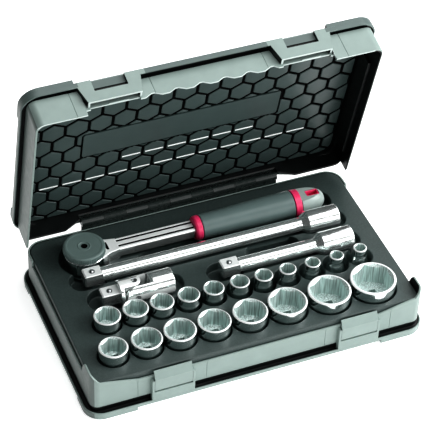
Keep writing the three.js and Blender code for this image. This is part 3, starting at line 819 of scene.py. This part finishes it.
def hex_pads():
    """every raised pad as one mesh, rounded towards the face that shows"""
    verts, faces = [], []
    levels = [(-0.9, LINER_Z), (-0.3, LINER_Z + 0.25), (0.0, LINER_Z + 0.9), (0.0, LINER_Z + 4.0)]
    inset = LINER_INSET + 0.6
    for shape, cx, cy in hexagons(WALL_X - inset, WALL_Y - inset):
        n = len(shape)
        start = len(verts)
        verts.append((cx, cy, LINER_Z))
        for d, z in levels:
            verts += upright(grow(shape, d), z)
        faces += [(start, start + 1 + (i + 1) % n, start + 1 + i) for i in range(n)]
        for k in range(len(levels) - 1):
            a = start + 1 + k * n
            faces += band(a, a + n, n)
        faces.append(tuple(range(len(verts) - n, len(verts))))
    obj = make("pads", verts, faces)
    mend(obj)
    return combine(obj, "INTERSECT", [plate("pad_limit", case_plan(-inset), 50, 60.5, 0, 0)])


def lid_liner():
    """sheet in the lid with raised pads and an opening for the label panel"""
    sheet_z = LINER_Z + PAD_RISE
    sheet = plate("lid_liner_moulding", case_plan(-LINER_INSET), sheet_z - 1, LINER_TOP, 0.1, 0.3)
    low, high = span("lid_label_panel")
    half_x = (high.x - low.x) / 2 + 0.3
    opening = rounded_rect(half_x, LABEL_HALF_Y + 0.3, 1.5, (low.x + high.x) / 2, LABEL_Y)
    pads = cut(hex_pads(), plate("label_room", grow(opening, HEX_GAP * 0.6), 50, 60.4, 0, 0))
    join(sheet, pads)
    return cut(sheet, plate("label_cut", opening, 50, sheet_z + 1, 0, 0))


def pad_ribs(name, y, x0, x1):
    """thin rib that runs across the pads and stops at every groove; its satin metal is a painted highlight
    """
    verts, faces = [], []
    section = arc(0, 0, 0.9, 180, 360, 8)
    n = len(section)
    for shape, _, _ in hexagons(WALL_X, WALL_Y):
        hits = []
        for (ax, ay), (bx, by) in zip(shape, shape[1:] + shape[:1]):
            if (ay - y) * (by - y) < 0:
                hits.append(ax + (bx - ax) * (y - ay) / (by - ay))
        if len(hits) != 2 or max(hits) - min(hits) < 4 or min(hits) < x0 or max(hits) > x1:
            continue
        a = len(verts)
        b = a + n
        for x in (min(hits) + 1, max(hits) - 1):
            verts += [(x, y + u, LINER_Z + 0.1 + v * 0.6) for u, v in section]
        faces += band(a, b, n) + [tuple(range(a, b)), tuple(range(b, b + n))]
    obj = make(name, verts, faces)
    mend(obj)
    return obj


def liner_skin(p, _):
    """painted shade: black in the grooves between the pads"""
    return int(p.z > LINER_Z + 0.6)


liner = paint(lid_liner(), [LINER, GROOVE_PAINTED_SHADE], liner_skin)
finish_piece(turn_about(liner, LID_TURN), "lid", LINER, ["lid_liner"])
# painted highlight: the ribs' satin metal
for line in (("lid_liner_ribs_low", 43.0, -150, 140), ("lid_liner_ribs_high", 20.7, -76, 80)):
    finish_piece(turn_about(pad_ribs(*line), LID_TURN), "lid", SATIN_PAINTED_HIGHLIGHT)

# ---------- tray ----------
TRAY_Z = span("tool_tray")[1].z
AXIS_Z = centre("long_extension").z
FINGER_FLOOR = 26.0
BARS = ["long_extension", "short_extension"]
SOCKET_SIZES = [int(n.split("_")[1]) for n in frame["nodes"] if n.startswith("socket_")]


def pocket(outline, floor, rim=1.1, heel=1.2, draft=0.3):
    """cutter for one pocket: rounded floor edge, slight draft, flared rim"""
    levels = []
    for k in range(4):
        a = math.pi / 2 * k / 3
        levels.append((-draft - heel * (1 - math.sin(a)), floor + heel * (1 - math.cos(a))))
    levels.append((0.0, TRAY_Z - rim))
    for k in range(1, 6):
        a = math.pi / 2 * k / 5
        levels.append((rim * (1 - math.cos(a)), TRAY_Z - rim + rim * math.sin(a)))
    levels[-1] = (rim + 0.15, TRAY_Z)
    levels.append((rim + 0.15, TRAY_Z + 3))
    return loft("pocket", [upright(grow(outline, d), z) for d, z in levels])


def stadium(x0, x1, y, w):
    """slot outline along X with round ends"""
    return rounded_rect((x1 - x0) / 2, w / 2, w / 2 - 0.1, (x0 + x1) / 2, y)


def pocket_plans():
    """outline and floor height of every pocket in the tray"""
    for size in SOCKET_SIZES:
        a, b = span(f"socket_{size}")
        c = (a + b) / 2
        yield circle((b.x - a.x) / 2 + 1.4, 56, c.x, c.y), a.z - 0.3
    # each bar has a slim pocket for its shaft and a wide one for each end
    for node in BARS:
        a, b = span(node)
        y = centre(node).y
        yield stadium(a.x + 10, b.x - 10, y, 18), AXIS_Z - 8.7
        yield stadium(b.x - 40, b.x + 8.5, y, 26), AXIS_Z - 11.3
        yield stadium(a.x - 13, a.x + 22, y, 24), AXIS_Z - 12
    # finger recesses beside the short bar and the long one
    yield stadium(30, 82, 13, 18), FINGER_FLOOR
    yield stadium(-64, -4, 42.6, 22), FINGER_FLOOR
    joint_start = span("universal_joint_drive_yoke")[0].x
    joint_end = span("universal_joint_socket_yoke")[1].x
    joint_y = centre("universal_joint_drive_yoke").y
    yield stadium(joint_start - 12, joint_end + 11, joint_y, 29.5), AXIS_Z - 12.3
    # ratchet: head, drive square, shank, grip
    head = centre("ratchet_reversing_dial")
    yield circle(23.5, 72, head.x, head.y), span("ratchet_body")[0].z - 0.3
    yield circle(10, 40, head.x, head.y), 12.6
    yield stadium(head.x, 10, head.y, 24), AXIS_Z - 9
    yield stadium(-9, 134, head.y, 31.5), AXIS_Z - 14


def tool_tray():
    floor_z = span("tool_tray")[0].z
    tray = plate("tool_tray_moulding", case_plan(-WALL - 0.3), floor_z, TRAY_Z, 1.0, 0.5)
    return cut(tray, *[pocket(outline, floor) for outline, floor in pocket_plans()])


finish_piece(tool_tray(), "base", TRAY, ["tool_tray"])


# ---------- sockets ----------
SOCKET_STEPS = 72
SQUARE_HALF = 6.45


def polygon_radius(sides, apothem, angle, start):
    """distance to the side of a regular polygon at an angle in degrees"""
    sector = 360 / sides
    return apothem / math.cos(math.radians((angle - start) % sector - sector / 2))


def socket_outside(drive, top, length):
    """profile of a socket's outer face from the drive end up: waisted when its mouth is narrower"""
    if drive > top:
        body = [(drive - 0.8, 0), (drive, 0.8), (drive, 13), (drive - 0.3, 15), (top + 0.25, length - 8.5),
                (top, length - 7), (top, length - 0.7), (top - 0.7, length)]
        return fillet(body, [0, 0.4, 2, 3, 3, 1, 0.4, 0], 4)
    body = [(drive - 0.8, 0), (drive, 0.8), (drive, 14.5), (top, 19), (top, length - 0.8),
            (top - 0.8, length)]
    return fillet(body, [0, 0.4, 1.5, 1.5, 0.5, 0], 3)


def socket(size):
    node = f"socket_{size}"
    low, high = span(node)
    c = (low + high) / 2
    length = high.z - low.z
    top = radius_near(node, 2, high.z)
    angles = [360 / SOCKET_STEPS * i for i in range(SOCKET_STEPS)]
    square = [polygon_radius(4, SQUARE_HALF, a, 45) for a in angles]
    hexagon_r = [polygon_radius(6, size / 2 + 0.3, a, 30) for a in angles]
    hex_floor = length - 10 - 0.35 * size
    lead = min(max(hexagon_r) + 0.25, top - 1.0)

    def ring(radii, heights):
        radii = radii if hasattr(radii, "__len__") else [radii] * SOCKET_STEPS
        heights = heights if hasattr(heights, "__len__") else [heights] * SOCKET_STEPS
        return [(c.x + r * math.cos(math.radians(a)), c.y + r * math.sin(math.radians(a)), low.z + h)
                for r, h, a in zip(radii, heights, angles)]

    rings = [ring(r, h) for r, h in socket_outside(radius_near(node, 2, low.z), top, length)]
    entry = [min(r, lead) for r in hexagon_r]
    rings.append(ring(lead, length))
    rings.append(ring(entry, [length - 0.15 - (lead - r) * 0.75 for r in entry]))
    rings += [ring(hexagon_r, length - 2.6), ring(hexagon_r, hex_floor + 0.3)]
    # small sockets have a round bore between the hexagon and the square
    if size < 19:
        bore = [min(6.2, 0.42 * size, r - 0.4) for r in hexagon_r]
        rings.append(ring(bore, hex_floor - 0.9 if size > 10 else hex_floor))
        rings += [ring(bore, 14.2), ring(square, 14.0)]
    else:
        rings.append(ring([min(s, r - 0.4) for s, r in zip(square, hexagon_r)], hex_floor - 0.9))
        rings.append(ring(square, 13.0))
    rings += [ring(square, 0.6), ring([s + 0.5 for s in square], 0)]
    obj = loft(f"{node}_turned", rings, loop=True)

    def skin(p, _):
        """broached inside, and a painted highlight of satin metal on the rim"""
        if math.hypot(p.x - c.x, p.y - c.y) < lead - 0.03:
            return 1
        return 2 if p.z > high.z - 0.9 else 0

    return paint(obj, [CHROME, BROACHED, SATIN_PAINTED_HIGHLIGHT], skin)


for size in SOCKET_SIZES:
    finish_piece(socket(size), f"socket_{size}", CHROME, [f"socket_{size}"], 25)


# ---------- extension bars ----------
def square_bar(name, x0, x1, y, z, half=6.35, edge=1.0):
    """male drive square with rounded edges and a chamfered nose"""
    nose = 1.2
    section = rounded_rect(half, half, edge, steps=4)
    rings = []
    for x, scale in ((x0, 0.86), (x0 + nose, 1), (x1, 1)):
        rings.append([(x, y + u * scale, z + v * scale) for u, v in section])
    return loft(name, rings)


def dimple(x, y, z):
    """cutter for the dish round a detent ball"""
    return lathe("dimple", [(0, 4.9), (2.9, 4.9), (3.1, 9), (0, 9)], 24, "z", (x, y, z))


def extension(node):
    low, high = span(node)
    y, z = centre(node).y, AXIS_Z
    length = high.x - low.x
    shaft, head, head_length = 6.7, (high.z - low.z) / 2, 31.0
    neck = length - head_length
    profile = [(0, 15), (5.6, 15), (shaft, 17), (shaft, neck - 6), (head, neck), (head, length - 1),
               (head - 1, length), (6.9, length), (6.4, length - 0.6), (6.4, length - 2), (0, length - 2)]
    profile = fillet(profile, [0, 0.5, 1.5, 3, 1.2, 0.4, 0.3, 0.2, 0.1, 0, 0], 4)
    body = lathe(f"{node}_turned", profile, 64, "x", (low.x, y, z))
    join(body, square_bar("nose", low.x, low.x + 17, y, z))
    hole = square_bar("hole", high.x + 2, high.x - 15.5, y, z, SQUARE_HALF, 0.3)
    cut(body, hole, dimple(low.x + 8, y, z))
    # painted highlight: the drive square's upward faces are satin
    return paint(body, [BAR, SATIN_PAINTED_HIGHLIGHT], lambda p, normal: int(p.x < low.x + 15.1 and normal.z > 0.5))


def ball(node, body):
    """polished detent ball"""
    c = centre(node)
    r = (span(node)[1].z - span(node)[0].z) / 2
    profile = [(r * math.sin(a), -r * math.cos(a)) for a in np.linspace(0, math.pi, 13)]
    axis = "x" if node.startswith("ratchet") else "z"
    obj = lathe(f"{node}_polished", profile, 24, axis, c)
    return finish_piece(obj, body, STEEL, [node])


for node in BARS:
    finish_piece(extension(node), node, CHROME, [node])
    ball(f"{node}_ball", node)


# ---------- universal joint ----------
UJ_AXIS = Vector(JOINTS["universal_joint_pitch"]["pos_m"]) / MM
UJ_R = 12.0


def yoke(name, hub, half_width, nose=None, turned=False):
    """hub with two ears, drawn at the joint's middle with the hub on the -X side;
    nose is where its drive square ends, and without one it has a square hole"""
    back, front = hub
    body = lathe(name, fillet(rod(UJ_R, back, front), [0, 0.9, 0.9, 0], 4), 64, "x")
    plan = [(front - 1, -half_width)] + arc(0, 0, half_width, -90, 90, 20) + [(front - 1, half_width)]
    slab = plate("ears", plan, -UJ_R - 1, UJ_R + 1, 0.01, 0.01)
    combine(slab, "INTERSECT", [lathe("stock", rod(UJ_R, front - 2, half_width + 1), 64, "x")])
    join(body, slab)
    gap = 6.3
    mouth = front + 1.5
    slot_plan = [(mouth, -gap), (30, -gap), (30, gap), (mouth, gap)]
    slot_plan = fillet(slot_plan, [2, 0, 0, 2], 4, closed=True)
    slot = loft("slot", [[(x, y, z) for x, z in slot_plan] for y in (-20, 20)])
    cut(body, slot, lathe("pin_hole", rod(2.8, -20, 20), 32, "z"))
    if nose is None:
        cut(body, square_bar("hole", back - 2, back + 15.5, 0, 0, SQUARE_HALF, 0.3))
    else:
        join(body, square_bar("nose", nose, back + 1, 0, 0))
        cut(body, dimple(nose + 8, 0, 0))
    # painted highlight: the faces that point along Z before turning are satin
    paint(body, [BAR, SATIN_PAINTED_HIGHLIGHT], lambda p, normal: int(abs(normal.z) > (0.5 if p.x < back - 0.1 else 0.97)))
    if turned:
        body.data.transform(Matrix.Rotation(math.pi, 4, "Z") @ Matrix.Rotation(math.pi / 2, 4, "X"))
    body.data.transform(Matrix.Translation(UJ_AXIS * MM))
    return body


node = "universal_joint_drive_yoke"
drive_end = yoke(f"{node}_forged", (-15.0, -11.2), 5.7, nose=span(node)[0].x - UJ_AXIS.x)
finish_piece(drive_end, "universal_joint", CHROME, [node])
node = "universal_joint_socket_yoke"
socket_end = yoke(f"{node}_forged", (UJ_AXIS.x - span(node)[1].x, -16.0), 10.0, turned=True)
finish_piece(socket_end, "universal_joint_socket", CHROME, [node])
ball("universal_joint_ball", "universal_joint")


def cross_piece():
    c = UJ_AXIS
    half = Vector((6, 6, 6))
    cube = block("universal_joint_cross_ground", c - half, c + half, 0.8)
    pin = fillet(rod(2.5, -10, 10), [0, 0.5, 0.5, 0], 2)
    return join(cube, lathe("pin", pin, 32, "z", c), lathe("pin", pin, 32, "y", c))


finish_piece(cross_piece(), "universal_joint_cross", STEEL, ["universal_joint_cross"])

# ---------- ratchet ----------
RATCHET = centre("ratchet_reversing_dial")
RX, RY = RATCHET.x, RATCHET.y
SHANK_TOP = AXIS_Z + 5.5
FLUTE = 1.0
TANG_BORE = 5.3


def at_head(points):
    """outline given from the middle of the ratchet's head"""
    return [(RX + x, RY + y) for x, y in points]


def bore(name, r, z0, z1, x=0.0, steps=48):
    """upright round cutter, x away from the head's middle"""
    return lathe(name, rod(r, z0, z1), steps, "z", (RX + x, RY, 0))


def shank_section():
    """cross-section of the shank in (y, z): two flutes run along its top"""
    top, flute = SHANK_TOP, SHANK_TOP - FLUTE
    half = [(2.2, top), (2.6, flute), (4.2, flute), (4.6, top), (6.4, top), (7.5, top - 1.6),
            (7.5, AXIS_Z - 4), (5.5, AXIS_Z - 6)]
    radii = [0.3, 0.3, 0.3, 0.3, 0.8, 1, 1, 1]
    outline = half[::-1] + [(-y, z) for y, z in half]
    return [(RY + y, z) for y, z in fillet(outline, radii[::-1] + radii, 3, closed=True)]


def ratchet_body():
    low, high = span("ratchet_body")
    r = 18.8
    profile = [(0, low.z), (r - 2, low.z), (r, low.z + 2), (r, high.z - 0.8), (r - 0.8, high.z),
               (0, high.z)]
    profile = fillet(profile, [0, 1, 1, 0.4, 0.4, 0], 3)
    body = lathe("ratchet_body_forged", profile, 96, "z", (RX, RY, 0))
    side = [(0, -14.5), (14, -14), (22, -9.5), (32, -7.6), (32, 7.6), (22, 9.5), (14, 14), (0, 14.5)]
    side = fillet(side, [0, 4, 6, 0, 0, 6, 4, 0], 4)
    neck = plate("neck", at_head(side), AXIS_Z - 7.5, SHANK_TOP, 1.0, 1.0)
    shank = along_x("shank", shank_section(), RX + 24, RX + 105.5, 0)
    tang = lathe("tang", rod(5, 104, 216), 32, "x", (RX, RY, AXIS_Z))
    join(body, neck, shank, tang)
    mark = fillet([(20.0, -4.5), (22.6, -5.2), (22.6, 5.2), (20.0, 4.5)], 0.5, 2, True)
    recess = plate("recess", at_head(mark), SHANK_TOP - 1.4, SHANK_TOP + 1, 0, 0.3)
    cavity = bore("cavity", 14.5, 30.7, high.z + 2, steps=72)
    pawl = bore("pawl", 4.7, 30.7, 44.3, x=18.9, steps=32)
    cut(body, recess, cavity, bore("opening", 11, low.z - 2, 31), pawl)

    def skin(p, normal):
        if p.x < RX + 15:
            return 0
        # painted shade: the flutes are near-black
        if SHANK_TOP - 1.6 < p.z < SHANK_TOP - 0.5 and abs(p.y - RY) < 4.8:
            return 2
        # painted highlight: the faces that point up are satin, the rest plain bar chrome
        return 1 if normal.z > 0.3 else 3

    return paint(body, [CHROME, SATIN_PAINTED_HIGHLIGHT, GROOVE_PAINTED_SHADE, BAR], skin)


finish_piece(ratchet_body(), "ratchet", CHROME, ["ratchet_body"])


def reversing_dial():
    low, high = span("ratchet_reversing_dial")
    r, top = (high.x - low.x) / 2, high.z
    ribs = [0.0, 0.35, 0.5, 0.35]
    steps = 72 * len(ribs)
    skirt = top - 6.2

    def ring(radius, z, depth=0.0):
        """ring with the knurl's flutes cut to a depth"""
        out = []
        for i in range(steps):
            a = 2 * math.pi * i / steps
            d = radius - depth * ribs[i % len(ribs)]
            out.append((RX + d * math.cos(a), RY + d * math.sin(a), z))
        return out

    rings = [ring(0.01, low.z), ring(7.9, low.z), ring(8, low.z + 0.2), ring(8, skirt)]
    rings += [ring(r - 0.6, skirt), ring(r, skirt + 0.4), ring(r, skirt + 0.5, 1.4)]
    rings += [ring(r, top - 2.2, 1.4), ring(r - 0.2, top - 1.4, 0.5)]
    face = [(r - 0.5, -0.9), (r - 1.6, -0.15), (r - 3.2, 0), (r - 4.0, -0.3), (6.4, -0.55), (5.8, -0.25),
            (5.2, -0.25), (4.7, -0.7), (3.0, -0.7), (2.4, -1.9), (0.01, -2.1)]
    face = fillet(face, [0, 0.5, 0.5, 0.5, 0.3, 0.2, 0.2, 0.2, 0.3, 0.3, 0], 2)
    rings += [ring(a, top + z) for a, z in face]
    dial = loft("ratchet_reversing_dial_knurled", rings)

    def skin(p, _):
        """painted shade: black in the dish in the middle"""
        return int(p.z > top - 2.4 and math.hypot(p.x - RX, p.y - RY) < 3.1)

    return paint(dial, [DIAL, GROOVE_PAINTED_SHADE], skin)


finish_piece(reversing_dial(), "ratchet_dial", DIAL, ["ratchet_reversing_dial"])


def along(node):
    """where a node starts and ends, from the head's middle"""
    low, high = span(node)
    return low.x - RX, high.x - RX


def sleeve(node, profile, mat):
    """hollow turned part on the ratchet's tang; profile is (radius, x from the head's middle)"""
    closed = [(TANG_BORE, profile[0][1])] + profile + [(TANG_BORE, profile[-1][1])]
    obj = lathe(f"{node}_moulded", closed, 64, "x", (RX, RY, AXIS_Z), loop=True)
    return finish_piece(obj, "ratchet", mat, [node])


a, b = along("ratchet_front_ring")
profile = [(9.6, a), (10.8, a + 0.6), (11.7, a + 2.2), (11.9, b - 0.5), (11.2, b)]
sleeve("ratchet_front_ring", fillet(profile, [0, 0.8, 1, 0.5, 0], 4), RED)
a, b = along("ratchet_grip")
profile = [(11.0, a), (11.8, a + 0.6)]
for t in np.linspace(0, 1, 16):
    profile.append((11.9 + 1.75 * math.sin(math.pi / 2 * t) ** 1.5, a + 1.5 + (b - a - 3) * t))
profile += [(13.5, b - 0.5), (12.6, b)]
sleeve("ratchet_grip", profile, GRIP)
a, b = along("ratchet_rear_ring")
profile = [(12.6, a), (13.6, a + 0.4), (13.4, b - 0.4), (12.4, b)]
sleeve("ratchet_rear_ring", fillet(profile, [0, 0.4, 0.4, 0], 3), RED)


def end_cap():
    a, b = along("ratchet_end_cap")
    r = 13.2
    profile = [(0, a), (r, a + 0.01)]
    for t in np.linspace(0.05, math.pi / 2 - 0.02, 20):
        profile.append((r * math.cos(t) ** 0.75, a + (b - a) * math.sin(t)))
    profile.append((0, b))
    body = lathe("ratchet_end_cap_moulded", profile, 64, "x", (RX, RY, AXIS_Z))
    flat = block("flat", (RX + a - 1, RY - 20, AXIS_Z - 9), (RX + b + 1, RY + 20, AXIS_Z + 9.5), 0)
    combine(body, "INTERSECT", [flat])
    low, high = span("ratchet_hang_eyelet")
    half_x, x = (high.x - low.x) / 2 + 0.3, centre("ratchet_hang_eyelet").x
    slot = plate("slot", rounded_rect(half_x, 4.2, 1.6, x, RY, 5), 10, 70, 0, 0)
    return cut(body, lathe("bore", rod(TANG_BORE, 100, 217), 32, "x", (RX, RY, AXIS_Z)), slot)


finish_piece(end_cap(), "ratchet", CAP, ["ratchet_end_cap"])


def hang_eyelet():
    low, high = span("ratchet_hang_eyelet")
    hx, c = (high.x - low.x) / 2, (low + high) / 2
    outer = rounded_rect(hx, 3.9, 1.4, c.x, RY, 5)
    inner = rounded_rect(hx - 1.2, 2.7, 0.8, c.x, RY, 5)
    edge = high.z - 0.4
    rings = [(outer, low.z), (outer, edge), (grow(outer, -0.3), high.z),
             (grow(inner, 0.3), high.z), (inner, edge), (inner, low.z)]
    return loft("ratchet_hang_eyelet_moulded", [upright(line, z) for line, z in rings], loop=True)


finish_piece(hang_eyelet(), "ratchet", RED, ["ratchet_hang_eyelet"])

# ---------- CAD nodes that stay ----------
KEPT = [
    (LINER, "liner", ["lid_label_panel"]),
    (HINGE_BLACK, "black", ["base_hinge_leaf", "lid_hinge_leaf"]),
    (STEEL, "steel", ["hinge_pin", "latch_left_pin", "latch_right_pin", "ratchet_drive", "ratchet_pawl",
                      "ratchet_cover_plate"]),
]
for mat, slot, nodes in KEPT:
    for node in nodes:
        cover(frame["nodes"][node], mat)
ball("ratchet_drive_ball", "ratchet_drive")

# ---------- studio ----------
FLOOR_WHITE = material("studio_floor", (0.9, 0.9, 0.9), 0.6, mottle=0.005)


def studio():
    half, z = 6000.0, -0.05
    corners = [(-half, -half, z), (half, -half, z), (half, half, z), (-half, half, z)]
    floor = make("floor", corners, [(0, 1, 2, 3)])
    cover(floor, FLOOR_WHITE)
    shader = FLOOR_WHITE.node_tree.nodes["Principled BSDF"]
    shader.inputs["Emission Color"].default_value = (1, 1, 1, 1)
    shader.inputs["Emission Strength"].default_value = 0.45
    world = bpy.data.worlds.new("studio")
    bpy.context.scene.world = world
    world.use_nodes = True
    background = world.node_tree.nodes["Background"]
    background.inputs["Color"].default_value = (0.9, 0.95, 0.95, 1)
    background.inputs["Strength"].default_value = 0.06


def softbox(name, place, width, height, power):
    """rectangular light aimed at the middle of the set"""
    aim = (0, 0, 40)
    light = bpy.data.lights.new(name, "AREA")
    light.shape = "RECTANGLE"
    light.size = width * MM
    light.size_y = height * MM
    light.energy = power
    obj = add(name, light)
    obj.location = Vector(place) * MM
    obj.rotation_euler = (Vector(aim) - Vector(place)).to_track_quat("-Z", "Y").to_euler()


studio()
softbox("overhead", (600, 100, 1500), 2400, 2200, 26)
softbox("front", (500, -1900, 800), 2600, 1100, 14)
softbox("key_right", (1400, -500, 900), 800, 800, 14)

# ---------- camera ----------
AZIMUTH, ELEVATION, ROLL = -23.63, 42.29, 2.48
DISTANCE = 1808.2
TARGET = Vector((23.58, 67.72, 40.0))
LENS = 160.06


def photo_camera():
    data = bpy.data.cameras.new("camera")
    cam = add("camera", data)
    turn = Matrix.Identity(4)
    for angle, axis in ((AZIMUTH, "Z"), (90 - ELEVATION, "X"), (ROLL, "Z")):
        turn = turn @ Matrix.Rotation(math.radians(angle), 4, axis)
    place = TARGET * MM + turn @ Vector((0, 0, DISTANCE * MM))
    cam.matrix_world = Matrix.Translation(place) @ turn
    data.lens = LENS
    data.clip_end = 100
    bpy.context.scene.camera = cam


photo_camera()
bpy.context.scene.view_settings.view_transform = "Standard"
bpy.context.scene.view_settings.look = "High Contrast"
